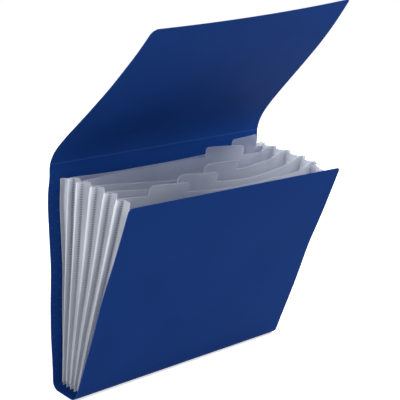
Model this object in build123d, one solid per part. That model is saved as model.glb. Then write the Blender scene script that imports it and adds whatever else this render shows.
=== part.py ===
"""Accordion file folder: a creased plastic cover round a fan of tabbed, translucent pockets.

Millimetres, +Z up. The width runs along X and the front faces -Y. The origin is the centre of the
flat underside that the folder stands on. Every sheet of the fan is described by its foot, a point
on its middle plane, and by its angle from the vertical, positive where it leans to the front.
"""
from build123d import *
from math import cos, radians, sin, sqrt
import os

# Cover: one sheet, creased into back panel, base, front panel and flap
COVER_WIDTH = 330.0
COVER_THICKNESS = 0.8
COVER_CORNER_RADIUS = 5.0
BACK_HEIGHT = 246.0
FRONT_HEIGHT = 242.0
CREASE_GAP = 0.9

# Base: a flat strip with a round corner up to each panel
BASE_FLAT = 22.0
BASE_RADIUS = 10.0

# Stance: how far the back panel leans back and the front panel stands open from it, and the steps
# from the back panel to the first divider and from each divider to the next
LEAN_ANGLE = 8.0
OPEN_ANGLE = 21.6
FIRST_STEP_ANGLE = 2.16
DIVIDER_STEP_ANGLE = 3.348

# Flap: folded a little at the crease and bent above it, tighter at its left side than at its right,
# then a long, slightly hollow sheet that narrows to its tip and sags between its sides
FLAP_LENGTH = 218.0
FLAP_CREASE_ANGLE = 10.0
FLAP_BEND_ANGLE = 48.5
FLAP_LEFT_RADIUS = 16.0
FLAP_RIGHT_RADIUS = 56.0
FLAP_LEFT_TIP_ANGLE = 44.5
FLAP_RIGHT_TIP_ANGLE = 36.8
FLAP_SAG_ANGLE = 2.3
FLAP_TIP_WIDTH = 318.0
FLAP_CORNER_RADIUS = 8.0

# Dividers: sheets between the pockets, each with one tab further along than the last
POCKET_COUNT = 6
DIVIDER_HEIGHT = 238.0
DIVIDER_THICKNESS = 0.4
DIVIDER_INSET = 8.0
DIVIDER_CORNER_RADIUS = 3.0
TAB_WIDTH = 50.0
TAB_HEIGHT = 12.0
TAB_CORNER_RADIUS = 4.0
TAB_PITCH = 52.0
FIRST_TAB_MARGIN = 17.0

# Pocket floors: narrow strips that close the pockets just above the base
FLOOR_LEVEL = 5.0
FLOOR_THICKNESS = 0.4
FLOOR_END_INSET = 20.0
FLOOR_CLEARANCE = 0.8
FLOOR_SEAT_GAP = 0.3

# Gussets: pleated films that close the pockets' sides, welded to the sheets by flat flanges
FILM_THICKNESS = 0.3
FLANGE_WIDTH = 6.5
COVER_FLANGE_INSET = 14.0
PLEAT_DEPTH_TOP = 8.5
PLEAT_DEPTH_FOOT = 11.0
GUSSET_FOOT_RISE = 4.0
GUSSET_TOP_DROP = 2.5
WELD_GAP = 0.05


def upward(angle):
    """Unit vector up along a sheet that leans to the front by this angle."""
    return Vector(0, -sin(radians(angle)), cos(radians(angle)))


def forward(angle):
    """Unit vector out of the front face of a sheet that leans to the front by this angle."""
    return Vector(0, -cos(radians(angle)), -sin(radians(angle)))


def crease_point(angle, side):
    """Where the outer face of a base corner meets a panel; side is 1 at the back, -1 in front."""
    turn = radians(90 + side * angle)
    reach = BASE_FLAT / 2 + BASE_RADIUS * sin(turn)
    return Vector(0, side * reach, BASE_RADIUS * (1 - cos(turn)))


def fan_sheets():
    """Foot and angle of each sheet, from the back panel through the dividers to the front panel."""
    front_angle = OPEN_ANGLE - LEAN_ANGLE
    inner_radius = BASE_RADIUS - COVER_THICKNESS
    half_floor = BASE_FLAT / 2 + sqrt(inner_radius**2 - (BASE_RADIUS - FLOOR_LEVEL) ** 2)
    sheets = []
    for number in range(POCKET_COUNT + 1):
        share = number / POCKET_COUNT
        foot = Vector(0, half_floor * (1 - 2 * share), FLOOR_LEVEL)
        opening = FIRST_STEP_ANGLE + DIVIDER_STEP_ANGLE * (number - 1)
        sheets.append((foot, opening - LEAN_ANGLE))
    half_cover = COVER_THICKNESS / 2
    sheets[0] = (BACK_CREASE + forward(-LEAN_ANGLE) * half_cover, -LEAN_ANGLE)
    sheets[-1] = (FRONT_CREASE - forward(front_angle) * half_cover, front_angle)
    return sheets, half_floor


BACK_CREASE = crease_point(-LEAN_ANGLE, 1)
FRONT_CREASE = crease_point(OPEN_ANGLE - LEAN_ANGLE, -1)
SHEETS, HALF_FLOOR = fan_sheets()
DIVIDER_WIDTH = COVER_WIDTH - 2 * DIVIDER_INSET


def sheet_plane(foot, angle, thickness):
    """Plane of a sheet's rear face: x along the width, y up the sheet, z out of its front face."""
    rear_foot = foot - forward(angle) * (thickness / 2)
    return Plane(origin=rear_foot, x_dir=(1, 0, 0), z_dir=forward(angle))


def upright_rectangle(width, height, bottom, radius):
    """Rectangle from a bottom edge upward, centred across, with its top corners rounded."""
    middle = bottom + height / 2
    outline = Pos(0, middle) * Rectangle(width, height)
    return fillet(outline.vertices().filter_by(lambda v: v.Y > middle), radius)


def back_panel():
    """Back panel, from the base's corner to just below the flap's crease, with square corners."""
    foot, angle = SHEETS[0]
    height = BACK_HEIGHT - CREASE_GAP / 2
    outline = Pos(0, height / 2) * Rectangle(COVER_WIDTH, height)
    return extrude(sheet_plane(foot, angle, COVER_THICKNESS) * outline, COVER_THICKNESS)


def front_panel():
    """Front panel, clear of its crease at the base, with rounded top corners."""
    foot, angle = SHEETS[-1]
    bottom = CREASE_GAP / 2
    outline = upright_rectangle(COVER_WIDTH, FRONT_HEIGHT - bottom, bottom, COVER_CORNER_RADIUS)
    return extrude(sheet_plane(foot, angle, COVER_THICKNESS) * outline, COVER_THICKNESS)


def base_spine():
    """Channel under the pockets: flat underside, round corners, open ends."""
    half_flat = BASE_FLAT / 2
    inner_back = BACK_CREASE + forward(-LEAN_ANGLE) * COVER_THICKNESS
    inner_front = FRONT_CREASE - forward(OPEN_ANGLE - LEAN_ANGLE) * COVER_THICKNESS
    outside = [(-half_flat, 0), (half_flat, 0)]
    inside = [(half_flat, COVER_THICKNESS), (-half_flat, COVER_THICKNESS)]
    back_outer = (BACK_CREASE.Y, BACK_CREASE.Z)
    back_inner = (inner_back.Y, inner_back.Z)
    front_outer = (FRONT_CREASE.Y, FRONT_CREASE.Z)
    front_inner = (inner_front.Y, inner_front.Z)
    profile = [
        Line(*outside),
        TangentArc(outside[1], back_outer, tangent=(1, 0)),
        Line(back_outer, back_inner),
        TangentArc(inside[0], back_inner, tangent=(1, 0)),
        Line(*inside),
        TangentArc(inside[1], front_inner, tangent=(-1, 0)),
        Line(front_inner, front_outer),
        TangentArc(outside[0], front_outer, tangent=(-1, 0)),
    ]
    section = Plane.YZ * make_face(Wire(profile))
    return extrude(section, COVER_WIDTH / 2, both=True)


def flap_section(radius, tip_angle):
    """Section of the flap's sheet, forward and up from the crease, and the middle of its tip."""
    crease = radians(FLAP_CREASE_ANGLE)
    bend = radians(FLAP_BEND_ANGLE)
    tip = radians(tip_angle)
    chord = (bend + tip) / 2
    length = FLAP_LENGTH - radius * (bend - crease)
    start = Vector(0, CREASE_GAP / 2)
    knee = start + Vector(cos(crease) - cos(bend), sin(bend) - sin(crease)) * radius
    end = knee + Vector(sin(chord), cos(chord)) * length
    faces = []
    for side in (-1, 1):
        shift = side * COVER_THICKNESS / 2
        faces.append([
            start + Vector(cos(crease), -sin(crease)) * shift,
            knee + Vector(cos(bend), -sin(bend)) * shift,
            end + Vector(cos(tip), -sin(tip)) * shift,
        ])
    rear, front = faces
    along_crease = (sin(crease), cos(crease))
    along_bend = (sin(bend), cos(bend))
    profile = [
        TangentArc(rear[0], rear[1], tangent=along_crease),
        TangentArc(rear[1], rear[2], tangent=along_bend),
        Line(rear[2], front[2]),
        TangentArc(front[1], front[2], tangent=along_bend),
        TangentArc(front[0], front[1], tangent=along_crease),
        Line(front[0], rear[0]),
    ]
    return make_face(Wire(profile)), end


def flap():
    """Flap above the back panel's crease: lofted from side to side, tapered, with a rounded tip."""
    foot, angle = SHEETS[0]
    crease = foot + upward(angle) * BACK_HEIGHT
    middle_radius = (FLAP_LEFT_RADIUS + FLAP_RIGHT_RADIUS) / 2
    middle_tip = (FLAP_LEFT_TIP_ANGLE + FLAP_RIGHT_TIP_ANGLE) / 2 + FLAP_SAG_ANGLE
    left, left_end = flap_section(FLAP_LEFT_RADIUS, FLAP_LEFT_TIP_ANGLE)
    middle, _ = flap_section(middle_radius, middle_tip)
    right, right_end = flap_section(FLAP_RIGHT_RADIUS, FLAP_RIGHT_TIP_ANGLE)
    sections = []
    for x, section in ((-COVER_WIDTH / 2, left), (0, middle), (COVER_WIDTH / 2, right)):
        side_plane = Plane(origin=crease + Vector(x, 0, 0), x_dir=forward(angle), z_dir=(-1, 0, 0))
        sections.append(side_plane * section)
    sheet = loft(sections)
    half_root, half_tip = COVER_WIDTH / 2, FLAP_TIP_WIDTH / 2
    outline = make_face(Polyline(
        (-half_root, 0),
        (half_root, 0),
        (half_tip, right_end.Y + COVER_THICKNESS),
        (-half_tip, left_end.Y + COVER_THICKNESS),
        close=True,
    ))
    outline = fillet(outline.vertices().sort_by(Axis.Y)[-2:], FLAP_CORNER_RADIUS)
    face_plane = Plane(origin=crease, x_dir=(1, 0, 0), z_dir=forward(angle))
    trim = extrude(face_plane * outline, FLAP_LENGTH + COVER_WIDTH, both=True)
    return sheet & trim


def divider(number):
    """Divider sheet with its tab; the tabs step from the right end to the left, back to front."""
    foot, angle = SHEETS[number]
    first_middle = DIVIDER_WIDTH / 2 - FIRST_TAB_MARGIN - TAB_WIDTH / 2
    tab_middle = first_middle - TAB_PITCH * (number - 1)
    sheet = upright_rectangle(DIVIDER_WIDTH, DIVIDER_HEIGHT, 0, DIVIDER_CORNER_RADIUS)
    tab = upright_rectangle(TAB_WIDTH, DIVIDER_HEIGHT + TAB_HEIGHT, 0, TAB_CORNER_RADIUS)
    outline = sheet + Pos(tab_middle, 0) * tab
    return extrude(sheet_plane(foot, angle, DIVIDER_THICKNESS) * outline, DIVIDER_THICKNESS)


def pocket_floor(number):
    """Floor strip of one pocket, between the feet of the sheet behind it and the one in front."""
    half_sheet = DIVIDER_THICKNESS / 2
    rear = SHEETS[number - 1][0].Y - half_sheet - FLOOR_CLEARANCE
    front = SHEETS[number][0].Y + half_sheet + WELD_GAP
    if number == 1:
        rear = HALF_FLOOR - FLOOR_SEAT_GAP
    if number == POCKET_COUNT:
        front = FLOOR_SEAT_GAP - HALF_FLOOR
    strip = Box(COVER_WIDTH - 2 * FLOOR_END_INSET, rear - front, FLOOR_THICKNESS)
    return Pos(0, (rear + front) / 2, FLOOR_LEVEL + FLOOR_THICKNESS / 2) * strip


def gusset(number, side):
    """Pleated film at one end of a pocket: flange, half, valley fold, half and flange.

    It is ruled between a foot section and a wider top section. Both lie square to the line that
    halves the pocket's angle, so the flanges stay flat on the two sheets.
    """
    rear, front = SHEETS[number - 1], SHEETS[number]
    middle = (rear[0] + front[0]) / 2
    half_angle = (rear[1] + front[1]) / 2
    lengthwise = upward(half_angle)
    rear_half = (COVER_THICKNESS if number == 1 else DIVIDER_THICKNESS) / 2
    front_half = (COVER_THICKNESS if number == POCKET_COUNT else DIVIDER_THICKNESS) / 2
    rear_inset = COVER_FLANGE_INSET if number == 1 else DIVIDER_INSET
    front_inset = COVER_FLANGE_INSET if number == POCKET_COUNT else DIVIDER_INSET

    def section(rise, depth):
        plane = Plane(origin=middle + lengthwise * rise, x_dir=(1, 0, 0), z_dir=lengthwise)

        def across(sheet, offset):
            """Height in the section's own y of a line at this offset from a sheet."""
            foot, angle = sheet
            start = foot + forward(angle) * offset - middle
            climb = (rise - start.dot(lengthwise)) / upward(angle).dot(lengthwise)
            return (start + upward(angle) * climb).dot(plane.y_dir)

        rear_weld = across(rear, rear_half + WELD_GAP)
        rear_free = across(rear, rear_half + WELD_GAP + FILM_THICKNESS)
        front_weld = across(front, -front_half - WELD_GAP)
        front_free = across(front, -front_half - WELD_GAP - FILM_THICKNESS)
        rear_edge = COVER_WIDTH / 2 - rear_inset
        front_edge = COVER_WIDTH / 2 - front_inset
        rear_fold = rear_edge - FLANGE_WIDTH
        front_fold = front_edge - FLANGE_WIDTH
        valley = (rear_fold + front_fold) / 2 - depth
        valley_y = (rear_weld + front_weld) / 2
        points = [
            (rear_edge, rear_weld),
            (rear_fold, rear_weld),
            (valley, valley_y),
            (front_fold, front_weld),
            (front_edge, front_weld),
            (front_edge, front_free),
            (front_fold + FILM_THICKNESS, front_free),
            (valley + 2 * FILM_THICKNESS, valley_y),
            (rear_fold + FILM_THICKNESS, rear_free),
            (rear_edge, rear_free),
        ]
        return plane * make_face(Polyline([(side * x, y) for x, y in points], close=True))

    foot_section = section(GUSSET_FOOT_RISE, PLEAT_DEPTH_FOOT)
    top_section = section(DIVIDER_HEIGHT - GUSSET_TOP_DROP, PLEAT_DEPTH_TOP)
    return loft([foot_section, top_section], ruled=True)


def build_folder():
    """All pieces by node name."""
    pieces = {
        "back_panel": back_panel(),
        "base_spine": base_spine(),
        "front_panel": front_panel(),
        "flap": flap(),
    }
    for number in range(1, POCKET_COUNT):
        pieces[f"divider_{number}"] = divider(number)
    for number in range(1, POCKET_COUNT + 1):
        pieces[f"pocket_floor_{number}"] = pocket_floor(number)
        pieces[f"gusset_left_{number}"] = gusset(number, -1)
        pieces[f"gusset_right_{number}"] = gusset(number, 1)
    return pieces


FOLDER = build_folder()
os.makedirs("parts", exist_ok=True)
for name, piece in FOLDER.items():
    export_step(piece, f"parts/{name}.step")

FLAP_CREASE = SHEETS[0][0] + upward(SHEETS[0][1]) * BACK_HEIGHT
print("flap crease", FLAP_CREASE)
for number, (foot, angle) in enumerate(SHEETS):
    print("sheet", number, "foot", foot, "angle", angle)
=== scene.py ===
import math
from collections import namedtuple

import bpy
import numpy as np
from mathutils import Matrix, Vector


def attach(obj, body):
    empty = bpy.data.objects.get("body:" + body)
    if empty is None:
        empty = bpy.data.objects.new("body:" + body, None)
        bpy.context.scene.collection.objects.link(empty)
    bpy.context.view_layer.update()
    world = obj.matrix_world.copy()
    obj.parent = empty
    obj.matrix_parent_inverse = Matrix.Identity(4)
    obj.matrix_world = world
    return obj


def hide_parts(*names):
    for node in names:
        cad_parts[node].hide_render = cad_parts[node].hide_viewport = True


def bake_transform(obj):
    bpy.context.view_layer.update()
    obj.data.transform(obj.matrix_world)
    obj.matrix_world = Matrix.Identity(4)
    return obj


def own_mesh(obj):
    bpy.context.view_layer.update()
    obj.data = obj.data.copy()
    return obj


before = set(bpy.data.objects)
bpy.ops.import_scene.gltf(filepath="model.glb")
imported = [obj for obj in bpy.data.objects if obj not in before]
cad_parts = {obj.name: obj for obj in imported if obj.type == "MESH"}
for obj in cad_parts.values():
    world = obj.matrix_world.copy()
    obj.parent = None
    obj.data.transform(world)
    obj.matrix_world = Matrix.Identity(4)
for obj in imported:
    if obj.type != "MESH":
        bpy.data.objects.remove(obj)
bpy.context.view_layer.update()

# Accordion file folder. Sizes are in millimetres and angles in degrees; the meshes are in metres.
# A sheet of the fan is given by its foot (y, z) and its angle from the vertical, positive where it
# leans to the front. Places on it are x across, rise up the sheet and offset out of its front face.
# A span is the low and the high end of a smooth step or of a mapped range.
MM = 0.001
TINY = 1e-9
NORMAL_STEP = 0.05
SMOOTHING_PASSES = 3
CORNER_TURNS = np.radians([0, 15, 30, 45, 60, 75, 90])

# A sheet's UV map holds its own places. These shifts let a material tell cut edges, seams on the
# cover, the flap and the six films from the rest.
RIM_SHIFT = 2000.0
COVER_SEAM_SHIFT = 100.0
FLAP_PLACE = 600.0
FILM_PLACE = 300.0

# Cover
COVER_HALF_WIDTH = 165.0
COVER_THICKNESS = 0.8
COVER_RIM = 0.22
COVER_COLUMN_STEP = 11.0
BACK_HEIGHT = 246.0
BACK_JOIN_DROP = 8.0
FRONT_HEIGHT = 242.0
FRONT_CORNER_RADIUS = 5.0
BASE_HALF_FLAT = 11.0
BASE_RADIUS = 10.0
FRONT_ROW_SHARES = np.concatenate([np.linspace(0, 0.06, 7), np.linspace(0.09, 1, 34)])
BASE_ROWS = 34
BACK_ROWS = 40

# Waves of the cover: a bump is its height, the rise of its middle and its half length
FRONT_TWIST_MIDDLE = 0.8
FRONT_TWIST_SIDE = 3.4
FRONT_DENT = (-1.7, 130.0, 34.0)
FRONT_FIRM_FOOT = (0.0, 40.0)
BACK_BUMPS = ((1.7, 127.0, 28.0), (-1.5, 198.0, 26.0))
BACK_WAVE_MIDDLE = 0.55
BACK_WAVE_SIDE = 0.45
BACK_FIRM_FOOT = (5.0, 60.0)
BACK_FIRM_TOP = (212.0, 236.0)
MARGIN_CURL = 2.4
MARGIN_CURL_SPAN = (149.0, 168.0)

# Fan: foot y, foot z and angle of the back panel, the five dividers and the front panel
FAN = (
    (20.5066, 8.6639, -8.0),
    (12.4818, 5.0, -5.84),
    (6.2409, 5.0, -2.492),
    (0.0, 5.0, 0.856),
    (-6.2409, 5.0, 4.204),
    (-12.4818, 5.0, 7.552),
    (-20.3308, 7.7426, 13.6),
)
BACK, FRONT = 0, 6
DIVIDERS = range(1, 6)
FIRST_FILM, LAST_FILM = 1, 6

# How far each sheet of the fan has shifted to the right at its top
SHIFTS = (0.0, 1.5, 0.0, 3.0, 4.5, 4.5, 0.0)

# Flap: angle from the vertical along each side edge, against the length from the crease
FLAP_LEFT_LENGTH = 218.6
FLAP_RIGHT_LENGTH = 222.8
FLAP_SPARE_LENGTH = 2.0
FLAP_TIP_HALF_WIDTH = 159.0
FLAP_CORNER_RADIUS = 8.0
FLAP_RIGHT_CORNER_RADIUS = 4.0
FLAP_TIP_BOW = 3.2
FLAP_BOW_WAY = np.array([0.0, -0.78, -0.62])
FLAP_MOST_SHARE = 1.02
FLAP_SMOOTHING = 2.0
FLAP_STEP = 0.5
CREASE_DEPTH = 0.3
CREASE_WIDTH = 0.9
CREASE_REACH = 3.0
FLAP_LEFT = (
    (-8, -8.5), (-4, -0.6), (0, 7.2), (4, 14.3), (12, 25.9), (25, 37.8), (55, 42.1), (90, 40.9),
    (117, 40.5), (142, 37.9), (172, 37.2), (203, 33.4), (222, 30.1),
)
FLAP_RIGHT = (
    (-8, -10.2), (-3, -3.3), (1, 2.2), (8, 11.7), (16, 21.4), (22, 26.8), (38, 33.6), (60, 36.6),
    (94, 37.3), (142, 36.1), (197, 29.8), (222, 27.5),
)

# Rows of the flap's mesh: close together over the crease, even up to the tip's corners, then the tip
CREASE_ROWS = (
    -8, -6, -4, -3, -2.2, -1.6, -1.1, -0.7, -0.35, 0, 0.35, 0.7, 1.1, 1.6, 2.2, 3, 4, 6,
)
FLAP_ROWS_START = 8.0
FLAP_ROWS = 44
FLAP_TIP_LENGTH = 12.0
FLAP_TIP_ROWS = 9
SHARE_SCALE = 100.0

# Dividers: width, height, tabs and how far each top edge bows out of its plane
DIVIDER_HALF_WIDTH = 157.0
DIVIDER_HEIGHT = 238.0
DIVIDER_THICKNESS = 0.4
DIVIDER_CORNER_RADIUS = 3.0
DIVIDER_COLUMN_STEP = 8.0
DIVIDER_ROWS = 26
TAB_WIDTH = 50.0
TAB_HEIGHT = 12.0
TAB_CORNER_RADIUS = 4.0
TAB_COLUMNS = 8
TAB_ROWS = 6
TAB_CLEAR = 1.5
FIRST_TAB_X = 115.0
TAB_PITCH = 52.0
BOW_POWER = 1.6
BOW_SMOOTHING = 9.0
BOW_MOST_SHARE = 1.1
BOWS = {
    1: ((-150, 3), (-118, 9), (-93, 12.5), (-50, 12.5), (0, 11), (50, 10), (94, 10), (138, 4), (148, 0)),
    2: ((-150, -1), (-86, -3.8), (-48, -4.6), (0, -3), (41, -1.6), (65, 4), (89, 11), (106, 15), (125, 10),
        (145, 0)),
    3: ((-150, -3), (-97, 12), (-54, 24), (-12, 23), (38, 26), (59, 25), (88, 19), (109, 17), (130, 9),
        (146, 0)),
    4: ((-148, -2.5), (-104, 9.5), (-64, 13), (-16, 23.5), (18, 29), (50, 28.5), (103, 21.5), (130, 11),
        (148, 3)),
    5: ((-148, -3), (-119, 4), (-67, 12), (-15, 19), (36, 22), (85, 20), (117, 15), (135, 8), (148, 2)),
}
WAVE_HEIGHT = 0.9
WAVE_SCALE = 23.0
WAVE_PHASE = 1.7
WAVE_RISE_SPAN = (150.0, 240.0)
WAVE_EDGE_SPAN = (120.0, 146.0)

# Gussets: pleated films from the ridge on one sheet over the valley to the ridge on the next
FILM_THICKNESS = 0.3
GUSSET_FOOT = 4.0
GUSSET_TOP = 237.4
GUSSET_LEVELS = np.concatenate([np.linspace(GUSSET_FOOT, 200, 26), np.linspace(206, GUSSET_TOP, 7)])
SIDES = {
    -1: {
        "name": "left",
        "seam": 150.9,
        "valley_top": 144.0,
        "valley_foot": 152.8,
        "valley_place": 0.32,
        "last_valley_shift": 1.5,
        "lap": 0.36,
        "fold_plane": -3.8,
        "phase": 0.0,
        "swells": (0.5, 0.6, 0.9, 1.5, 1.3, 1.9, 0.5),
    },
    1: {
        "name": "right",
        "seam": 153.6,
        "valley_top": 149.3,
        "valley_foot": 152.0,
        "valley_place": 0.5,
        "last_valley_shift": 0.0,
        "lap": 0.54,
        "fold_plane": -0.8,
        "phase": 0.8,
        "swells": (0.5, 1.9, 2.1, 2.2, 2.2, 2.0, 0.5),
    },
}
Pleat = namedtuple("Pleat", "distance place valley seam swells lap")

# Flanges: the weld seam's x, and the film's path over a flange as x and offset on the cover, or as
# part of the way from ridge to seam and lift on a divider
COVER_SEAM = 147.6
DIVIDER_SEAM = 150.9
FOOT_SEAM = 154.6
SEAM_SPAN = (0.0, 0.7)
RIDGE_REACH = 0.9
COVER_FLANGE = ((151.0, 0.62), (149.8, 0.62), (148.6, 0.62), (147.6, 0.6), (146.6, 0.62), (145.4, 0.75))
FLANGE_FORM = (
    (0.0, 0.0), (0.015, 0.45), (0.06, 0.9), (0.14, 1.2), (0.25, 1.34), (0.4, 1.38), (0.6, 1.36),
    (0.8, 1.34), (1.0, 1.35), (1.14, 1.4), (1.29, 1.5),
)
FLANGE_CLEAR = 0.42
FLANGE_CLEAR_PART = 0.12
SWELL_FOOT = 0.2
SWELL_SPAN = (0.2, 0.95)
FRONT_SWELL = 0.7

# Walls and valley of a pleat; a ripple is its height, its rate up the film and its phase's factor
WALL_PARTS = (0.12, 0.25, 0.4, 0.55, 0.7, 0.84, 0.94)
WALL_POWER = 1.25
FIRST_VALLEY_SHIFT = -2.5
LAST_VALLEY_PLACE = 0.3
PHASE_STEP = 1.9
REAR_RIPPLE = (0.12, 9.0, 1.0)
FRONT_RIPPLE = (0.1, 8.0, 1.7)
VALLEY_RIPPLE = (0.5, 11.0, 2.3)

# The last film's two halves lap: part of the lap and x from the valley of each half's free end
REAR_LAP_FORM = ((0.0, 0.0), (0.22, 0.5), (0.47, 1.2), (0.75, 1.9), (1.0, 2.6))
FRONT_LAP_FORM = ((0.25, 0.2), (0.45, -0.5), (0.65, -1.2), (0.85, -1.8), (1.0, -2.0))
FRONT_LAP_INSET = 2.0
FRONT_LAP_RATE = 1.5

# How far the films' top edges hang below the dividers' tops
SAG_START = 190.0
SCALLOP = 0.6
SCALLOP_EDGE = 153.0
SCALLOP_POWER = 1.5
FIRST_DROP = 5.0
RETURN_DROP = 6.0
RETURN_SPAN = 0.08
LAST_DROP = 12.0

# Spot welds on the back panel's margins; a ring is its share of the radius and of the height
SPOT_COLUMNS = (161.2, 153.8)
SPOT_RISES = (14.0, 238.0)
SPOT_PITCH = 12.4
SPOT_RADIUS = 1.0
SPOT_HEIGHT = 0.22
SPOT_SINK = 0.03
SPOT_RINGS = ((1.0, 0.0), (0.8, 0.62), (0.45, 0.92))
SPOT_STEPS = 10

# Materials: a pair of colours is the two shades between which a sheet varies; a bump is its
# strength and its depth in metres
NOISE_SPAN = (0.3, 0.7)
NOISE_DETAIL = 2.0
FINE_DETAIL = 3.0

NAVY = ((0.0040, 0.026, 0.132), (0.0048, 0.029, 0.145))
WELD_NAVY = ((0.012, 0.045, 0.18), (0.015, 0.05, 0.2))
# The paler navy serves the worn cut edges, and a painted highlight along the flap's crease
WORN_AND_HIGHLIGHT_NAVY = (0.02, 0.06, 0.21)
COVER_CLOUD_SCALE = 0.012
COVER_GRAIN_SCALE = 1.6
COVER_ROUGHNESS = (0.74, 0.84)
COVER_SPECULAR = 0.042
COVER_BUMP = (0.15, 0.00006)
COVER_EDGE_SHARE = 0.6
# Painted highlight: a paler line along the flap's crease, its span from the crease and its share
CREASE_HIGHLIGHT_SPAN = (0.6, 1.3)
CREASE_HIGHLIGHT_SHARE = 0.42

FROSTED = ((0.75, 0.775, 0.82), (0.81, 0.835, 0.88))
FROSTED_RIM = (0.74, 0.765, 0.81)
FROSTED_CLOUD_SCALE = 0.03
FROSTED_GRAIN_SCALE = 2.2
FROSTED_ROUGHNESS = (0.24, 0.34)
FROSTED_ALPHA = (0.165, 0.5)
FROSTED_BUMP = (0.12, 0.00005)
FROSTED_GLOW = 0.5

FILM = ((0.63, 0.655, 0.71), (0.71, 0.735, 0.79))
FILM_RIM = (0.74, 0.77, 0.82)
# The grey tints the pleats' walls, and is painted shade on the films' lower flanges
FILM_GREY = (0.5, 0.525, 0.58)
# The white is a painted highlight on the films' flanges higher up
PAINTED_HIGHLIGHT_WHITE = (0.9, 0.92, 0.95)
FILM_DOT = (0.36, 0.38, 0.425)
FILM_STREAK_SCALE = (0.9, 0.018, 1.0)
FILM_ROUGHNESS = (0.14, 0.24)
FILM_ALPHA = (0.72, 0.8)
FILM_BUMP = (0.3, 0.0002)
FILM_DOT_DEPTH = 0.8
FILM_GLOW = 0.4
SEAM_PITCH = 2.8
SEAM_EDGE_SPAN = (1.4, 1.5)
DOT_EDGE_SPAN = (-0.2, 0.2)
DOT_LEVEL_SPAN = (40.0, 150.0)
DOT_FOOT_SHARE = 0.2
WALL_SPAN = (-4.0, -0.8)
WALL_SHARE = 0.6
# Painted light on the films' flanges on the dividers: a painted highlight higher up, painted shade lower
# down
PAINTED_HIGHLIGHT_SPAN = (1.8, 6.0)
PAINTED_SHADE_SPAN = (0.5, 2.5)
PAINTED_LIGHT_SHARE = 0.5
PAINTED_LIGHT_LEVEL_SPAN = (60.0, 170.0)
COVER_SEAM_SPAN = (20.0, 30.0)

STRIP = ((0.45, 0.48, 0.54), (0.54, 0.57, 0.63))
STRIP_CLOUD_SCALE = 40.0
STRIP_ROUGHNESS = (0.22, 0.32)
STRIP_ALPHA = 0.6

# Studio, in metres. A lamp is its name, place, target, size, power in watts and whether it leaves
# reflections.
WHITE = (1.0, 1.0, 1.0, 1.0)
FLOOR_COLOUR = (0.92, 0.92, 0.92, 1.0)
FLOOR_ROUGHNESS = 0.9
FLOOR_GLOW = 0.56
FLOOR_REACH = 6.0
FLOOR_LEVEL = -0.0002
WORLD_STRENGTH = 0.46
LAMPS = (
    ("key", (-1.4, -0.05, 0.75), (0.0, 0.0, 0.22), 0.7, 14.0, True),
    ("side", (0.95, 0.4, 0.5), (0.12, 0.0, 0.22), 0.5, 4.6, True),
    ("right", (0.42, -0.28, 0.7), (0.16, 0.0, 0.24), 0.3, 4.0, False),
    ("fill", (-0.6, -1.6, 0.45), (0.0, 0.0, 0.22), 1.0, 7.0, True),
)
CAMERA_LENS = 111.418
CAMERA_SENSOR = 36.0
CAMERA_PLACE = (-0.97471, -0.92007, 0.65913)
CAMERA_TURN = (1.241064, -0.110603, -0.785134)


# Shapes and meshes


def upward(angle):
    """Unit vector up a sheet."""
    return np.array([0.0, -math.sin(math.radians(angle)), math.cos(math.radians(angle))])


def ahead(angle):
    """Unit vector out of a sheet's front face."""
    return np.array([0.0, -math.cos(math.radians(angle)), -math.sin(math.radians(angle))])


def on_sheet(number, x, rise, offset):
    """Points on a sheet of the fan, for arrays of places."""
    foot_y, foot_z, angle = FAN[number]
    x, rise, offset = np.broadcast_arrays(*(np.asarray(v, float) for v in (x, rise, offset)))
    points = np.zeros(x.shape + (3,))
    points[..., 0] = x
    points += np.array([0.0, foot_y, foot_z])
    points += rise[..., None] * upward(angle) + offset[..., None] * ahead(angle)
    return points


def ease(low, high, value):
    """Smooth step from 0 at low to 1 at high."""
    share = np.clip((np.asarray(value, float) - low) / (high - low), 0, 1)
    return share * share * (3 - 2 * share)


def bump(rise, height, middle, half_length):
    """Smooth bump along a sheet."""
    return height * np.exp(-(((rise - middle) / half_length) ** 2))


def smooth_table(table, reach, step=1.0):
    """A table of (place, value) as a smooth function: straight runs, averaged over the reach."""
    places = np.array([p for p, _ in table], float)
    values = np.array([v for _, v in table], float)
    margin = SMOOTHING_PASSES * reach
    fine = np.arange(places[0] - margin, places[-1] + margin + step, step)
    curve = np.interp(fine, places, values)
    window = max(1, int(reach / step))
    kernel = np.ones(2 * window + 1) / (2 * window + 1)
    for _ in range(SMOOTHING_PASSES):
        padded = np.pad(curve, window, mode="edge")
        curve = np.convolve(padded, kernel, mode="valid")
    return lambda place: np.interp(place, fine, curve)


def corner_drop(x, half_width, radius):
    """How far a rounded corner takes the end of a sheet back at this x."""
    inside = np.clip(np.abs(x) - (half_width - radius), 0, radius)
    return radius - np.sqrt(np.maximum(radius**2 - inside**2, 0))


def edge_columns(half_width, radius, step):
    """x places across a sheet, close together near its corners."""
    corner = half_width - radius + radius * np.sin(CORNER_TURNS)
    count = max(2, int(round((half_width - radius) / step)))
    inner = np.linspace(0, half_width - radius, count + 1)[:-1]
    right = np.concatenate([inner, corner])
    return np.concatenate([-right[:0:-1], right])


def grid_faces(rows, columns):
    """Quads of a grid of points, row by row."""
    faces = []
    for row in range(rows - 1):
        for column in range(columns - 1):
            first = row * columns + column
            faces.append((first, first + 1, first + columns + 1, first + columns))
    return faces


def surface_normals(surface, u, v):
    """Unit normals of a surface function at arrays of its two places."""
    across = surface(u + NORMAL_STEP, v) - surface(u - NORMAL_STEP, v)
    along = surface(u, v + NORMAL_STEP) - surface(u, v - NORMAL_STEP)
    normals = np.cross(across, along)
    return normals / np.linalg.norm(normals, axis=-1, keepdims=True)


def grid_normals(points):
    """Unit normals of a grid of points, columns first and rows second."""
    normals = np.cross(np.gradient(points, axis=1), np.gradient(points, axis=0))
    return normals / np.maximum(np.linalg.norm(normals, axis=-1, keepdims=True), TINY)


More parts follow.
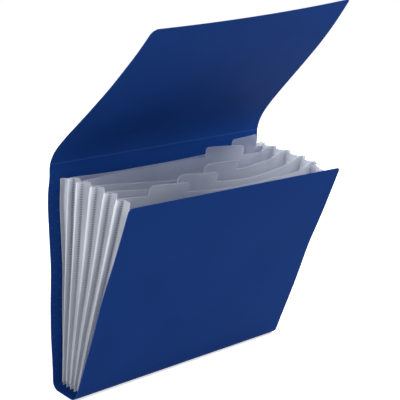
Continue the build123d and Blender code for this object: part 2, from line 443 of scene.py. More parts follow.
def thick_sheet(name, points, normals, faces, thickness, places, rim=0.0):
    """Closed thin sheet round a middle surface, its rim bulging a little, with places as its UV map."""
    points = np.asarray(points, float).reshape(-1, 3)
    normals = np.asarray(normals, float).reshape(-1, 3)
    places = np.asarray(places, float).reshape(-1, 2)
    count = len(points)
    directed = {}
    for face in faces:
        for a, b in zip(face, face[1:] + face[:1]):
            directed[(a, b)] = True
    border = [(a, b) for a, b in directed if (b, a) not in directed]
    outward = np.zeros((count, 3))
    for a, b in border:
        along = points[b] - points[a]
        for end in (a, b):
            side = np.cross(along, normals[end])
            outward[end] += side / max(np.linalg.norm(side), TINY)
    on_border = sorted({end for pair in border for end in pair})
    middle = {end: 2 * count + index for index, end in enumerate(on_border)}
    length = np.maximum(np.linalg.norm(outward, axis=1, keepdims=True), TINY)
    rim_points = (points + outward / length * rim)[on_border]
    half = thickness / 2
    vertices = np.concatenate([points + normals * half, points - normals * half, rim_points])
    all_places = np.concatenate([places, places, places[on_border]])
    solid = [tuple(face) for face in faces]
    solid += [tuple(index + count for index in reversed(face)) for face in faces]
    sharp = set()
    for a, b in border:
        solid.append((a, middle[a], middle[b], b))
        solid.append((middle[a], a + count, b + count, middle[b]))
        sharp.add(frozenset((a, b)))
        sharp.add(frozenset((a + count, b + count)))
    return make_object(name, vertices, solid, all_places, sharp, 2 * len(faces))


def make_object(name, vertices, faces, places, sharp=frozenset(), first_rim=None):
    """Mesh object from points in millimetres, smooth apart from its sharp edges.

    Faces from first_rim on are cut edges, which the materials know by RIM_SHIFT in their places.
    """
    mesh = bpy.data.meshes.new(name)
    mesh.from_pydata([tuple(v) for v in np.asarray(vertices) * MM], [], faces)
    uv = mesh.uv_layers.new(name="sheet")
    loops = np.zeros(len(mesh.loops), dtype=np.int32)
    mesh.loops.foreach_get("vertex_index", loops)
    loop_places = np.asarray(places, np.float32)[loops]
    if first_rim is not None:
        loop_places[mesh.polygons[first_rim].loop_start:, 0] += RIM_SHIFT
    uv.data.foreach_set("uv", loop_places.ravel())
    mesh.polygons.foreach_set("use_smooth", np.ones(len(mesh.polygons), dtype=bool))
    if sharp:
        for edge in mesh.edges:
            if frozenset(edge.vertices) in sharp:
                edge.use_edge_sharp = True
    mesh.update()
    obj = bpy.data.objects.new(name, mesh)
    bpy.context.scene.collection.objects.link(obj)
    return obj


def set_material(obj, material):
    """Gives an object its one material."""
    obj.data.materials.clear()
    obj.data.materials.append(material)


def finish_piece(obj, material):
    """Gives a piece its material."""
    set_material(obj, material)


# Cover sheet: front panel, base and back panel in one


def front_bow(x, rise):
    """How far the front panel stands out of its plane: twisted a little, with a soft dent half way up."""
    share = np.clip(rise / FRONT_HEIGHT, 0, 1)
    twist = share * (FRONT_TWIST_MIDDLE + FRONT_TWIST_SIDE * x / COVER_HALF_WIDTH)
    return (twist + bump(rise, *FRONT_DENT)) * ease(*FRONT_FIRM_FOOT, rise)


def back_bow(x, rise):
    """How far the back panel stands out of its plane: a slow wave and side margins that curl back."""
    wave = sum(bump(rise, *form) for form in BACK_BUMPS)
    fade = BACK_WAVE_MIDDLE - BACK_WAVE_SIDE * x / COVER_HALF_WIDTH
    curl = MARGIN_CURL * ease(*MARGIN_CURL_SPAN, np.abs(x))
    return (wave * fade - curl) * (1 - ease(*BACK_FIRM_TOP, rise)) * ease(*BACK_FIRM_FOOT, rise)


def cover_surface(x, length):
    """Middle of the cover by the length from the front panel's top, and the length where its back starts.

    The length runs down the front panel, round the base and up the back panel.
    """
    x, length = np.broadcast_arrays(np.asarray(x, float), np.asarray(length, float))
    radius = BASE_RADIUS - COVER_THICKNESS / 2
    front_turn = math.radians(90 - FAN[FRONT][2])
    back_turn = math.radians(90 + FAN[BACK][2])
    flat_start = FRONT_HEIGHT + radius * front_turn
    flat_end = flat_start + 2 * BASE_HALF_FLAT
    back_start = flat_end + radius * back_turn
    front_rise = FRONT_HEIGHT - length
    front = on_sheet(FRONT, x, front_rise, front_bow(x, front_rise))
    back_rise = length - back_start
    back = on_sheet(BACK, x, back_rise, back_bow(x, back_rise))
    base = np.zeros_like(front)
    base[..., 0] = x
    front_part = np.clip((flat_start - length) / radius, 0, front_turn)
    back_part = np.clip((length - flat_end) / radius, 0, back_turn)
    along = np.clip(length - flat_start, 0, 2 * BASE_HALF_FLAT)
    base[..., 1] = -BASE_HALF_FLAT - radius * np.sin(front_part) + along + radius * np.sin(back_part)
    base[..., 2] = BASE_RADIUS - radius * np.cos(front_part) + radius * (1 - np.cos(back_part))
    points = np.where((length <= FRONT_HEIGHT)[..., None], front, base)
    return np.where((length >= back_start)[..., None], back, points), back_start


def build_cover(material):
    """Front panel, base and back panel as one creased sheet with rounded top corners."""
    columns = edge_columns(COVER_HALF_WIDTH, FRONT_CORNER_RADIUS, COVER_COLUMN_STEP)
    _, back_start = cover_surface(0.0, 0.0)
    end = back_start + BACK_HEIGHT - BACK_JOIN_DROP
    base_lengths = np.linspace(FRONT_HEIGHT, back_start, BASE_ROWS)[1:]
    back_lengths = np.linspace(back_start, end, BACK_ROWS)[1:]
    drop = corner_drop(columns, COVER_HALF_WIDTH, FRONT_CORNER_RADIUS)
    rows = [drop + share * (FRONT_HEIGHT - drop) for share in FRONT_ROW_SHARES]
    rows += [np.full_like(columns, length) for length in np.concatenate([base_lengths, back_lengths])]
    length = np.array(rows)
    x = np.broadcast_to(columns, length.shape)
    points = cover_surface(x, length)[0]
    normals = surface_normals(lambda u, v: cover_surface(u, v)[0], x, length)
    places = np.stack([x, length], axis=-1)
    faces = grid_faces(*length.shape)
    cover = thick_sheet("cover_sheet", points, normals, faces, COVER_THICKNESS, places, COVER_RIM)
    finish_piece(cover, material)
    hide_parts("back_panel", "base_spine", "front_panel")
    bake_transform(cover)


# Flap


def flap_edge(table):
    """y and z along a side edge of the flap, against the length from the crease."""
    angles = smooth_table(table, FLAP_SMOOTHING, FLAP_STEP)
    lengths = np.arange(-BACK_JOIN_DROP, FLAP_RIGHT_LENGTH + FLAP_SPARE_LENGTH, FLAP_STEP)
    turn = np.radians(angles(lengths + FLAP_STEP / 2))
    start = on_sheet(BACK, 0.0, BACK_HEIGHT - BACK_JOIN_DROP, 0.0)
    y = start[1] - np.concatenate([[0], np.cumsum(np.sin(turn))[:-1]]) * FLAP_STEP
    z = start[2] + np.concatenate([[0], np.cumsum(np.cos(turn))[:-1]]) * FLAP_STEP
    return lengths, y, z


LEFT_EDGE = flap_edge(FLAP_LEFT)
RIGHT_EDGE = flap_edge(FLAP_RIGHT)


def flap_surface(share, length):
    """Middle of the flap: share from -1 at its left edge to 1 at its right, length from the crease."""
    share, length = np.broadcast_arrays(np.asarray(share, float), np.asarray(length, float))
    right = (1 + share) / 2
    along = np.clip(length / FLAP_LEFT_LENGTH, 0, FLAP_MOST_SHARE)
    half_width = COVER_HALF_WIDTH + (FLAP_TIP_HALF_WIDTH - COVER_HALF_WIDTH) * along
    points = np.zeros(share.shape + (3,))
    points[..., 0] = share * half_width
    for axis in (1, 2):
        left_part = np.interp(length, LEFT_EDGE[0], LEFT_EDGE[axis])
        right_part = np.interp(length, RIGHT_EDGE[0], RIGHT_EDGE[axis])
        points[..., axis] = (1 - right) * left_part + right * right_part
    bow = FLAP_TIP_BOW * along**2 * (1 - share**2)
    press = CREASE_DEPTH * np.exp(-((length / CREASE_WIDTH) ** 2))
    return points + bow[..., None] * FLAP_BOW_WAY - press[..., None] * ahead(FAN[BACK][2])


def build_flap(material):
    """Flap with its pressed crease and the top of the back panel, from which it bends."""
    columns = edge_columns(COVER_HALF_WIDTH, FLAP_CORNER_RADIUS, COVER_COLUMN_STEP)
    share = columns / COVER_HALF_WIDTH
    even_rows = np.linspace(FLAP_ROWS_START, FLAP_LEFT_LENGTH - FLAP_TIP_LENGTH, FLAP_ROWS)
    left_drop = corner_drop(columns, COVER_HALF_WIDTH, FLAP_CORNER_RADIUS)
    right_drop = corner_drop(columns, COVER_HALF_WIDTH, FLAP_RIGHT_CORNER_RADIUS)
    drop = np.where(columns < 0, left_drop, right_drop)
    rows = [np.full_like(columns, length) for length in np.concatenate([CREASE_ROWS, even_rows])]
    last = even_rows[-1]
    full = FLAP_LEFT_LENGTH + (FLAP_RIGHT_LENGTH - FLAP_LEFT_LENGTH) * (1 + share) / 2
    rows += [last + part * (full - drop - last) for part in np.linspace(0, 1, FLAP_TIP_ROWS)[1:]]
    length = np.array(rows)
    u = np.broadcast_to(share, length.shape)
    points = flap_surface(u, length)
    normals = surface_normals(lambda a, b: flap_surface(a / SHARE_SCALE, b), u * SHARE_SCALE, length)
    places = np.stack([u * COVER_HALF_WIDTH, length + FLAP_PLACE], axis=-1)
    faces = grid_faces(*length.shape)
    flap = thick_sheet("cover_flap", points, normals, faces, COVER_THICKNESS, places, COVER_RIM)
    finish_piece(flap, material)
    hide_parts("flap")
    low = on_sheet(BACK, 0.0, BACK_HEIGHT - CREASE_REACH, 0.0) * MM
    high = on_sheet(BACK, 0.0, BACK_HEIGHT + CREASE_REACH, 0.0) * MM
    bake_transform(flap)


# Dividers


BOW_CURVES = {number: smooth_table(table, BOW_SMOOTHING) for number, table in BOWS.items()}


def divider_bow(number, x, rise):
    """How far a divider stands out of its plane."""
    share = np.clip(np.asarray(rise, float) / DIVIDER_HEIGHT, 0, BOW_MOST_SHARE)
    return BOW_CURVES[number](x) * share**BOW_POWER


def divider_surface(number, x, rise):
    """Middle of a divider: bowed, with a small wave along its top."""
    wave = WAVE_HEIGHT * np.sin(x / WAVE_SCALE + WAVE_PHASE * number)
    wave = wave * ease(*WAVE_RISE_SPAN, rise) * (1 - ease(*WAVE_EDGE_SPAN, np.abs(x)))
    shift = SHIFTS[number] * rise / DIVIDER_HEIGHT
    return on_sheet(number, x + shift, rise, divider_bow(number, x, rise) + wave)


def tab_places(left, right):
    """x places across a tab, close together at its rounded corners."""
    corner = TAB_CORNER_RADIUS * (1 - np.cos(CORNER_TURNS))
    inner = np.linspace(left + TAB_CORNER_RADIUS, right - TAB_CORNER_RADIUS, TAB_COLUMNS)[1:-1]
    return np.concatenate([left + corner, inner, right - corner[::-1]])


def build_divider(number, material):
    """Bowed translucent sheet with one index tab."""
    tab_middle = FIRST_TAB_X - TAB_PITCH * (number - 1)
    tab_left, tab_right = tab_middle - TAB_WIDTH / 2, tab_middle + TAB_WIDTH / 2
    plain = edge_columns(DIVIDER_HALF_WIDTH, DIVIDER_CORNER_RADIUS, DIVIDER_COLUMN_STEP)
    outside = plain[(plain < tab_left - TAB_CLEAR) | (plain > tab_right + TAB_CLEAR)]
    tab_columns = tab_places(tab_left, tab_right)
    columns = np.sort(np.concatenate([outside, tab_columns]))
    drop = corner_drop(columns, DIVIDER_HALF_WIDTH, DIVIDER_CORNER_RADIUS)
    shares = np.linspace(0, 1, DIVIDER_ROWS)
    rise = np.array([share * (DIVIDER_HEIGHT - drop * share) for share in shares])
    x = np.broadcast_to(columns, rise.shape)
    tab_drop = corner_drop(tab_columns - tab_middle, TAB_WIDTH / 2, TAB_CORNER_RADIUS)
    tab_shares = np.linspace(0, 1, TAB_ROWS)[1:]
    tab_rise = np.array([DIVIDER_HEIGHT + share * (TAB_HEIGHT - tab_drop) for share in tab_shares])
    tab_x = np.broadcast_to(tab_columns, tab_rise.shape)
    all_x = np.concatenate([x.ravel(), tab_x.ravel()])
    all_rise = np.concatenate([rise.ravel(), tab_rise.ravel()])

    # The tab's lowest row is the part of the sheet's top row from which it rises
    first_tab = int(np.searchsorted(columns, tab_left - TINY))
    top_row = (DIVIDER_ROWS - 1) * len(columns) + first_tab + np.arange(len(tab_columns))
    tab_index = np.concatenate([top_row, rise.size + np.arange(tab_rise.size)])
    faces = grid_faces(*rise.shape)
    for face in grid_faces(TAB_ROWS, len(tab_columns)):
        faces.append(tuple(int(tab_index[corner]) for corner in face))

    points = divider_surface(number, all_x, all_rise)
    normals = surface_normals(lambda u, v: divider_surface(number, u, v), all_x, all_rise)
    places = np.stack([all_x, all_rise], axis=-1)
    sheet = thick_sheet(f"divider_sheet_{number}", points, normals, faces, DIVIDER_THICKNESS, places)
    finish_piece(sheet, material)
    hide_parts(f"divider_{number}")
    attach(sheet, f"divider_{number}")
    foot = on_sheet(number, 0.0, 0.0, 0.0) * MM
    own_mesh(sheet)


# Gussets


def flange_path(is_cover, swell, seam):
    """(x, offset) from a film's edge on a sheet to where it leaves the sheet."""
    if is_cover:
        return list(COVER_FLANGE)
    ridge = DIVIDER_HALF_WIDTH + RIDGE_REACH
    path = []
    for part, lift in FLANGE_FORM:
        clear = FLANGE_CLEAR * min(1.0, part / FLANGE_CLEAR_PART)
        path.append((ridge - part * (ridge - seam), max(lift * swell, clear)))
    return path


def film_half(is_cover, swell, seam, valley, reach):
    """Path of one half of a pleat, from the sheet's edge to the valley at its x and reach."""
    path = flange_path(is_cover, swell, seam)
    leave_x, leave_offset = path[-1]
    for part in WALL_PARTS:
        x = leave_x + (valley - leave_x) * part
        offset = leave_offset + (reach - leave_offset) * part**WALL_POWER
        path.append((x, offset))
    return path


def film_line(sheet, side, level):
    """Point on a sheet's middle where a film is welded to it, at a level above the dividers' feet."""
    rise = level - (FAN[sheet][1] - FAN[1][1])
    if sheet == BACK:
        bow = back_bow(side * COVER_SEAM, rise)
    elif sheet == FRONT:
        bow = front_bow(side * COVER_SEAM, rise)
    else:
        bow = divider_bow(sheet, side * DIVIDER_SEAM, rise)
    return on_sheet(sheet, 0.0, rise, bow)


def film_path(number, which, pleat):
    """Path of a film across its pocket as (x, offset): ridge, seam, valley, seam and ridge."""
    distance, place, valley = pleat.distance, pleat.place, pleat.valley
    rear_swell, front_swell = pleat.swells
    rear_half = film_half(number == FIRST_FILM, rear_swell, pleat.seam, valley, distance * place)
    front_half = film_half(number == LAST_FILM, front_swell, pleat.seam, valley, distance * (1 - place))
    mirrored = [(x, distance - offset) for x, offset in reversed(front_half)]
    if which == "whole":
        return rear_half + [(valley, distance * place)] + mirrored
    if which == "rear":
        return rear_half + [
            (valley + step, distance * (place + part * pleat.lap)) for part, step in REAR_LAP_FORM
        ]
    inner = [(valley + step, distance * place * part) for part, step in FRONT_LAP_FORM]
    for x, offset in mirrored:
        inset = FRONT_LAP_INSET * min(1.0, FRONT_LAP_RATE * (distance - offset) / distance)
        inner.append((x - inset, offset))
    return inner


def ripple(form, share, phase):
    """Slow ripple up a film."""
    height, rate, factor = form
    return height * math.sin(share * rate + factor * phase)


def pleat_at(number, side, share, distance):
    """Form of a pleat at a share of the dividers' height, for the distance between its sheets."""
    rear, front = number - 1, number
    form = SIDES[side]
    phase = PHASE_STEP * number + form["phase"]
    seam = FOOT_SEAM + (form["seam"] - FOOT_SEAM) * float(ease(*SEAM_SPAN, share))
    fill = SWELL_FOOT + (1 - SWELL_FOOT) * float(ease(*SWELL_SPAN, share))
    rear_swell = form["swells"][rear] * fill + ripple(REAR_RIPPLE, share, phase)
    front_swell = FRONT_SWELL * form["swells"][front] * fill + ripple(FRONT_RIPPLE, share, phase)
    valley = form["valley_foot"] + (form["valley_top"] - form["valley_foot"]) * share
    valley += ripple(VALLEY_RIPPLE, share, phase)
    place = form["valley_place"]
    if number == FIRST_FILM:
        valley += FIRST_VALLEY_SHIFT * share
    if number == LAST_FILM:
        valley += form["last_valley_shift"]
        place = LAST_VALLEY_PLACE
    return Pleat(distance, place, valley, seam, (rear_swell, front_swell), form["lap"])


def top_drop(number, side, which, pleat, x, part):
    """How far a film's top edge hangs below the dividers' tops at a place on its path."""
    depth = np.clip((SCALLOP_EDGE - x) / (SCALLOP_EDGE - pleat.valley), 0, 1)
    drop = SCALLOP * depth**SCALLOP_POWER
    if number == FIRST_FILM:
        return drop + FIRST_DROP
    if side > 0:
        return drop
    return_drop = LAST_DROP if number == LAST_FILM else RETURN_DROP
    if which == "front":
        return drop + return_drop
    return drop + return_drop * ease(pleat.place, pleat.place + RETURN_SPAN, part)


def film_rows(number, side, which):
    """Grid of points of a gusset's film and its places: rows up the pocket, columns along the pleat."""
    rear, front = number - 1, number
    rows, places = [], []
    for level in GUSSET_LEVELS:
        share = level / DIVIDER_HEIGHT
        rear_point = film_line(rear, side, level)
        across = film_line(front, side, level) - rear_point
        pleat = pleat_at(number, side, share, float(np.linalg.norm(across)))
        sag = float(ease(SAG_START, GUSSET_TOP, level))
        line, line_places = [], []
        for x, offset in film_path(number, which, pleat):
            part = offset / pleat.distance
            shift_part = 1.0 if which == "front" and side > 0 else part
            shift = share * side * (SHIFTS[rear] + (SHIFTS[front] - SHIFTS[rear]) * shift_part)
            lengthwise = upward(FAN[rear][2] + (FAN[front][2] - FAN[rear][2]) * part)
            drop = top_drop(number, side, which, pleat, x, part) * sag
            point = rear_point + across * part - lengthwise * drop
            line.append((side * (x + shift), point[1], point[2]))
            on_cover = rear == BACK if part < 0.5 else front == FRONT
            from_seam = x - COVER_SEAM + COVER_SEAM_SHIFT if on_cover else x - pleat.seam
            line_places.append((from_seam, level + FILM_PLACE * number))
        rows.append(line)
        places.append(line_places)
    return np.array(rows), np.array(places)


def make_film(number, side, which, material):
    """Mesh of one pleated film, or of one half of the last."""
    points, places = film_rows(number, side, which)
    normals = grid_normals(points)
    faces = grid_faces(points.shape[0], points.shape[1])
    ending = {"whole": "", "rear": "_rear", "front": "_front"}[which]
    name = f"gusset_film_{SIDES[side]['name']}_{number}{ending}"
    film = thick_sheet(name, points, normals, faces, FILM_THICKNESS, places)
    finish_piece(film, material)
    return film


def build_gusset(number, side, material):
    """One of the first five films, which folds between two sheets that share a joint."""
    film = make_film(number, side, "whole", material)
    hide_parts(f"gusset_{SIDES[side]['name']}_{number}")
    rear_rise = DIVIDER_HEIGHT - (FAN[number - 1][1] - FAN[1][1])
    rear_top = on_sheet(number - 1, 0.0, rear_rise, 0.0)
    front_top = on_sheet(number, 0.0, DIVIDER_HEIGHT, 0.0)
    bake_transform(film)


def squash_half(film, sheet, plane):
    """Gives a half of the last film its own copy of its mesh."""
    foot = on_sheet(sheet, 0.0, 0.0, plane) * MM
    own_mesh(film)


def build_last_gusset(side, material):
    """The last film in two halves, because the last divider and the front panel share no joint."""
    rear_film = make_film(LAST_FILM, side, "rear", material)
    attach(rear_film, "divider_5")
    squash_half(rear_film, LAST_FILM - 1, 0.0)
    front_film = make_film(LAST_FILM, side, "front", material)
    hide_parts(f"gusset_{SIDES[side]['name']}_{LAST_FILM}")
    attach(front_film, "front")
    squash_half(front_film, FRONT, SIDES[side]["fold_plane"])


# Spot welds


def spot_point(x, rise, height):
    """Point of a spot on the back panel; height is 0 at its foot and 1 on top."""
    lift = COVER_THICKNESS / 2 - SPOT_SINK + float(back_bow(x, rise)) + SPOT_HEIGHT * height
    return on_sheet(BACK, x, rise, lift)


def add_spot(x, rise, vertices, faces, places):
    """Adds one closed low dome."""
    start = len(vertices)
    for radius, height in SPOT_RINGS:
        for turn in np.linspace(0, 2 * math.pi, SPOT_STEPS, endpoint=False):
            spot_x = x + SPOT_RADIUS * radius * math.cos(turn)
            spot_rise = rise + SPOT_RADIUS * radius * math.sin(turn)
            vertices.append(spot_point(spot_x, spot_rise, height))
            places.append((spot_x, spot_rise))
    top = len(vertices)
    vertices.append(spot_point(x, rise, 1.0))
    places.append((x, rise))
    for ring in range(len(SPOT_RINGS)):
        for step in range(SPOT_STEPS):
            a = start + ring * SPOT_STEPS + step
            b = start + ring * SPOT_STEPS + (step + 1) % SPOT_STEPS
            if ring < len(SPOT_RINGS) - 1:
                faces.append((a, b, b + SPOT_STEPS, a + SPOT_STEPS))
            else:
                faces.append((a, b, top))
    faces.append(tuple(range(start + SPOT_STEPS - 1, start - 1, -1)))


def build_spots(material):
    """Two staggered columns of small welded spots on each margin of the back panel's inner face."""
    vertices, faces, places = [], [], []
    lowest, highest = SPOT_RISES
    for side in SIDES:
        for column, distance in enumerate(SPOT_COLUMNS):
            for rise in np.arange(lowest + column * SPOT_PITCH / 2, highest, SPOT_PITCH):
                add_spot(side * distance, rise, vertices, faces, places)
    spots = make_object("spot_welds", np.array(vertices), faces, places)
    finish_piece(spots, material)
    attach(spots, "back")


# Materials


def new_material(name):
    """Empty node material with one Principled shader."""
    material = bpy.data.materials.new(name)
    material.use_nodes = True
    tree = material.node_tree
    tree.nodes.clear()
    output = tree.nodes.new("ShaderNodeOutputMaterial")
    shader = tree.nodes.new("ShaderNodeBsdfPrincipled")
    tree.links.new(shader.outputs["BSDF"], output.inputs["Surface"])
    return material, tree, shader, output


def sheet_places(tree, scale=(1.0, 1.0, 1.0)):
    """The sheet's own places in millimetres, scaled."""
    uv = tree.nodes.new("ShaderNodeUVMap")
    uv.uv_map = "sheet"
    mapping = tree.nodes.new("ShaderNodeMapping")
    mapping.inputs["Scale"].default_value = scale
    tree.links.new(uv.outputs["UV"], mapping.inputs["Vector"])
    return mapping.outputs["Vector"]


def split_places(tree):
    """The two places of a sheet as separate sockets."""
    node = tree.nodes.new("ShaderNodeSeparateXYZ")
    tree.links.new(sheet_places(tree), node.inputs["Vector"])
    return node.outputs["X"], node.outputs["Y"]


def noise(tree, vector, scale, detail=NOISE_DETAIL):
    """Noise value at a scale."""
    node = tree.nodes.new("ShaderNodeTexNoise")
    node.inputs["Scale"].default_value = scale
    node.inputs["Detail"].default_value = detail
    tree.links.new(vector, node.inputs["Vector"])
    return node.outputs["Fac"]


def remap(tree, value, span, result):
    """Value mapped from one span to another, clamped."""
    node = tree.nodes.new("ShaderNodeMapRange")
    node.inputs["From Min"].default_value = span[0]
    node.inputs["From Max"].default_value = span[1]
    node.inputs["To Min"].default_value = result[0]
    node.inputs["To Max"].default_value = result[1]
    tree.links.new(value, node.inputs["Value"])
    return node.outputs["Result"]


def math_node(tree, operation, first, second=None):
    """One Math node; an input is a socket or a number."""
    node = tree.nodes.new("ShaderNodeMath")
    node.operation = operation
    for index, value in enumerate((first, second)):
        if value is None:
            continue
        if isinstance(value, (int, float)):
            node.inputs[index].default_value = value
        else:
            tree.links.new(value, node.inputs[index])
    return node.outputs["Value"]


def product(tree, first, *others):
    """Product of several sockets."""
    for other in others:
        first = math_node(tree, "MULTIPLY", first, other)
    return first


def mix_colour(tree, factor, first, second):
    """Colour between two, by a factor socket; a colour is a socket or a tuple."""
    node = tree.nodes.new("ShaderNodeMix")
    node.data_type = "RGBA"
    tree.links.new(factor, node.inputs["Factor"])
    for socket, value in ((node.inputs[6], first), (node.inputs[7], second)):
        if isinstance(value, tuple):
            socket.default_value = value + (1.0,)
        else:
            tree.links.new(value, socket)
    return node.outputs[2]


def shade(tree, pattern, pair):
    """Colour that varies between two shades with a noise pattern."""
    return mix_colour(tree, remap(tree, pattern, NOISE_SPAN, (0.0, 1.0)), *pair)


def cut_edge(tree, across, share=1.0):
    """The share on a sheet's cut edges, 0 elsewhere."""
    return remap(tree, across, (RIM_SHIFT / 2 - 1, RIM_SHIFT / 2 + 1), (0.0, share))


def add_bump(tree, shader, height, form):
    """Bump from a height socket."""
    node = tree.nodes.new("ShaderNodeBump")
    node.inputs["Strength"].default_value = form[0]
    node.inputs["Distance"].default_value = form[1]
    tree.links.new(height, node.inputs["Height"])
    tree.links.new(node.outputs["Normal"], shader.inputs["Normal"])


def let_light_through(tree, shader, output, colour, share):
    """Mixes in a translucent shader, so that light from behind shows."""
    translucent = tree.nodes.new("ShaderNodeBsdfTranslucent")
    tree.links.new(colour, translucent.inputs["Color"])
    mix = tree.nodes.new("ShaderNodeMixShader")
    mix.inputs["Fac"].default_value = share
    tree.links.new(shader.outputs["BSDF"], mix.inputs[1])
    tree.links.new(translucent.outputs["BSDF"], mix.inputs[2])
    tree.links.new(mix.outputs["Shader"], output.inputs["Surface"])


def cover_material(name, shades):
    """Navy polypropylene sheet: fine grain, slow changes of tone, paler along its worn cut edges, with a
    painted highlight along the crease.
    """
    material, tree, shader, _ = new_material(name)
    places = sheet_places(tree)
    cloud = noise(tree, places, COVER_CLOUD_SCALE, FINE_DETAIL)
    grain = noise(tree, places, COVER_GRAIN_SCALE)
    across, along = split_places(tree)
    from_crease = math_node(tree, "ABSOLUTE", math_node(tree, "SUBTRACT", along, FLAP_PLACE))
    # Painted highlight: a paler line along the crease
    crease = remap(tree, from_crease, CREASE_HIGHLIGHT_SPAN, (CREASE_HIGHLIGHT_SHARE, 0.0))
    colour = mix_colour(tree, crease, shade(tree, cloud, shades), WORN_AND_HIGHLIGHT_NAVY)
    colour = mix_colour(tree, cut_edge(tree, across, COVER_EDGE_SHARE), colour, WORN_AND_HIGHLIGHT_NAVY)
    tree.links.new(colour, shader.inputs["Base Color"])
    tree.links.new(remap(tree, grain, NOISE_SPAN, COVER_ROUGHNESS), shader.inputs["Roughness"])
    shader.inputs["Specular IOR Level"].default_value = COVER_SPECULAR
    add_bump(tree, shader, grain, COVER_BUMP)
    return material


def frosted_material(name):
    """Frosted translucent polypropylene: cloudy, its cut edges denser, lets what lies behind through."""
    material, tree, shader, output = new_material(name)
    places = sheet_places(tree)
    cloud = noise(tree, places, FROSTED_CLOUD_SCALE)
    grain = noise(tree, places, FROSTED_GRAIN_SCALE)
    across, _ = split_places(tree)
    rim = cut_edge(tree, across)
    colour = mix_colour(tree, rim, shade(tree, cloud, FROSTED), FROSTED_RIM)
    tree.links.new(colour, shader.inputs["Base Color"])
    tree.links.new(remap(tree, grain, NOISE_SPAN, FROSTED_ROUGHNESS), shader.inputs["Roughness"])
    tree.links.new(remap(tree, rim, (0.0, 1.0), FROSTED_ALPHA), shader.inputs["Alpha"])
    add_bump(tree, shader, grain, FROSTED_BUMP)
    let_light_through(tree, shader, output, colour, FROSTED_GLOW)
    return material


def seam_dots(tree, across, along, level):
    """Knurled dots of a weld seam, 1 on a dot, fading towards the film's foot."""
    in_seam = remap(tree, math_node(tree, "ABSOLUTE", across), SEAM_EDGE_SPAN, (1.0, 0.0))
    wave = math_node(tree, "SINE", math_node(tree, "MULTIPLY", along, 2 * math.pi / SEAM_PITCH))
    on_dot = remap(tree, wave, DOT_EDGE_SPAN, (0.0, 1.0))
    fade = remap(tree, level, DOT_LEVEL_SPAN, (DOT_FOOT_SHARE, 1.0))
    return product(tree, in_seam, fade, on_dot)


def film_material(name):
    """Thin glossy film: lines along its height, a knurled seam, grey walls, a painted highlight on its
    flanges higher up and painted shade on them lower down.
    """
    material, tree, shader, output = new_material(name)
    streak = noise(tree, sheet_places(tree, FILM_STREAK_SCALE), 1.0, FINE_DETAIL)
    across, along = split_places(tree)
    level = math_node(tree, "MODULO", along, FILM_PLACE)
    rim = cut_edge(tree, across)
    dots = seam_dots(tree, across, along, level)
    wall = remap(tree, across, WALL_SPAN, (WALL_SHARE, 0.0))
    on_divider = remap(tree, across, COVER_SEAM_SPAN, (1.0, 0.0))
    high = remap(tree, level, PAINTED_LIGHT_LEVEL_SPAN, (0.0, 1.0))
    low = remap(tree, level, PAINTED_LIGHT_LEVEL_SPAN, (1.0, 0.0))
    # Painted highlight on the flanges, higher up
    painted_highlight = product(tree, remap(tree, across, PAINTED_HIGHLIGHT_SPAN, (0.0, PAINTED_LIGHT_SHARE)), on_divider, high)
    # Painted shade on the same flanges, lower down
    painted_shade = product(tree, remap(tree, across, PAINTED_SHADE_SPAN, (0.0, PAINTED_LIGHT_SHARE)), on_divider, low)
    colour = shade(tree, streak, FILM)
    colour = mix_colour(tree, wall, colour, FILM_GREY)
    colour = mix_colour(tree, painted_highlight, colour, PAINTED_HIGHLIGHT_WHITE)
    colour = mix_colour(tree, painted_shade, colour, FILM_GREY)
    colour = mix_colour(tree, dots, colour, FILM_DOT)
    colour = mix_colour(tree, rim, colour, FILM_RIM)
    tree.links.new(colour, shader.inputs["Base Color"])
    tree.links.new(remap(tree, streak, NOISE_SPAN, FILM_ROUGHNESS), shader.inputs["Roughness"])
    tree.links.new(remap(tree, rim, (0.0, 1.0), FILM_ALPHA), shader.inputs["Alpha"])
    dot_depth = math_node(tree, "MULTIPLY", dots, FILM_DOT_DEPTH)
    add_bump(tree, shader, math_node(tree, "SUBTRACT", streak, dot_depth), FILM_BUMP)
    let_light_through(tree, shader, output, colour, FILM_GLOW)
    return material


def strip_material(name):
    """Film of the pocket floors, which carry no places of their own."""
    material, tree, shader, _ = new_material(name)
    coordinates = tree.nodes.new("ShaderNodeTexCoord")
    cloud = noise(tree, coordinates.outputs["Object"], STRIP_CLOUD_SCALE)
    tree.links.new(shade(tree, cloud, STRIP), shader.inputs["Base Color"])
    tree.links.new(remap(tree, cloud, NOISE_SPAN, STRIP_ROUGHNESS), shader.inputs["Roughness"])
    shader.inputs["Alpha"].default_value = STRIP_ALPHA
    return material


# Studio


def seen_ray(tree):
    """1 for rays by which the camera sees a surface, itself, in a reflection or through a clear one."""
    path = tree.nodes.new("ShaderNodeLightPath")
    either = math_node(tree, "MAXIMUM", path.outputs["Is Camera Ray"], path.outputs["Is Glossy Ray"])
    return math_node(tree, "MAXIMUM", either, path.outputs["Is Transmission Ray"])


def floor_material():
    """Pale floor that is seen as white and keeps the object's shadow."""
    material, tree, shader, _ = new_material("floor_white")
    shader.inputs["Base Color"].default_value = FLOOR_COLOUR
    shader.inputs["Roughness"].default_value = FLOOR_ROUGHNESS
    shader.inputs["Specular IOR Level"].default_value = 0.0
    shader.inputs["Emission Color"].default_value = WHITE
    glow = math_node(tree, "MULTIPLY", seen_ray(tree), FLOOR_GLOW)
    tree.links.new(glow, shader.inputs["Emission Strength"])
    material.cycles.emission_sampling = "NONE"
    return material


def build_floor():
    """Large pale floor under the folder."""
    mesh = bpy.data.meshes.new("studio_floor")
    corners = [(-1, -1), (1, -1), (1, 1), (-1, 1)]
    vertices = [(x * FLOOR_REACH, y * FLOOR_REACH, FLOOR_LEVEL) for x, y in corners]
    mesh.from_pydata(vertices, [], [(0, 1, 2, 3)])
    floor = bpy.data.objects.new("studio_floor", mesh)
    bpy.context.scene.collection.objects.link(floor)
    set_material(floor, floor_material())


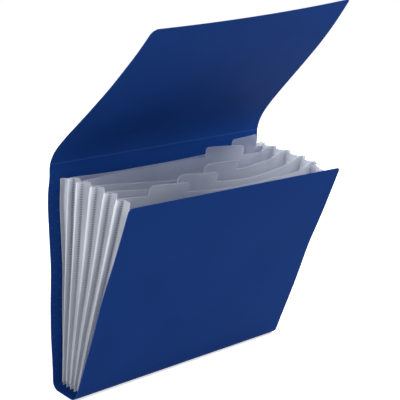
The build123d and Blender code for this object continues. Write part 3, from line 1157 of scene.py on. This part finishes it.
def area_light(name, place, target, size, power, shines):
    """Soft square light that faces a point; one that does not shine leaves no reflection."""
    lamp = bpy.data.lights.new(name, "AREA")
    lamp.shape = "SQUARE"
    lamp.size = size
    lamp.energy = power
    obj = bpy.data.objects.new(name, lamp)
    bpy.context.scene.collection.objects.link(obj)
    obj.location = place
    obj.rotation_euler = (Vector(target) - Vector(place)).to_track_quat("-Z", "Y").to_euler()
    obj.visible_camera = False
    obj.visible_glossy = shines


def background(tree, strength):
    """White background shader."""
    node = tree.nodes.new("ShaderNodeBackground")
    node.inputs["Color"].default_value = WHITE
    node.inputs["Strength"].default_value = strength
    return node.outputs["Background"]


def build_world():
    """Even studio light, white where the camera, a reflection or a clear surface sees it."""
    world = bpy.data.worlds.new("studio")
    bpy.context.scene.world = world
    world.use_nodes = True
    tree = world.node_tree
    tree.nodes.clear()
    output = tree.nodes.new("ShaderNodeOutputWorld")
    mix = tree.nodes.new("ShaderNodeMixShader")
    tree.links.new(seen_ray(tree), mix.inputs["Fac"])
    tree.links.new(background(tree, WORLD_STRENGTH), mix.inputs[1])
    tree.links.new(background(tree, 1.0), mix.inputs[2])
    tree.links.new(mix.outputs["Shader"], output.inputs["Surface"])


def build_camera():
    """Camera fitted to the photograph's edges."""
    data = bpy.data.cameras.new("camera")
    data.lens = CAMERA_LENS
    data.sensor_width = CAMERA_SENSOR
    camera = bpy.data.objects.new("camera", data)
    bpy.context.scene.collection.objects.link(camera)
    camera.location = CAMERA_PLACE
    camera.rotation_euler = CAMERA_TURN
    bpy.context.scene.camera = camera


def build_folder():
    """Every piece of the folder."""
    cover = cover_material("navy_sheet", NAVY)
    build_cover(cover)
    build_flap(cover)
    build_spots(cover_material("navy_weld", WELD_NAVY))
    frosted = frosted_material("frosted_sheet")
    for number in DIVIDERS:
        build_divider(number, frosted)
    film = film_material("gusset_film")
    for side in SIDES:
        for number in range(FIRST_FILM, LAST_FILM):
            build_gusset(number, side, film)
        build_last_gusset(side, film)
    strip = strip_material("floor_film")
    for number in range(FIRST_FILM, LAST_FILM + 1):
        set_material(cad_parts[f"pocket_floor_{number}"], strip)


def build_studio():
    """Floor, light and camera."""
    build_floor()
    build_world()
    for lamp in LAMPS:
        area_light(*lamp)
    build_camera()


bpy.context.scene.view_settings.view_transform = "Standard"
build_folder()
build_studio()
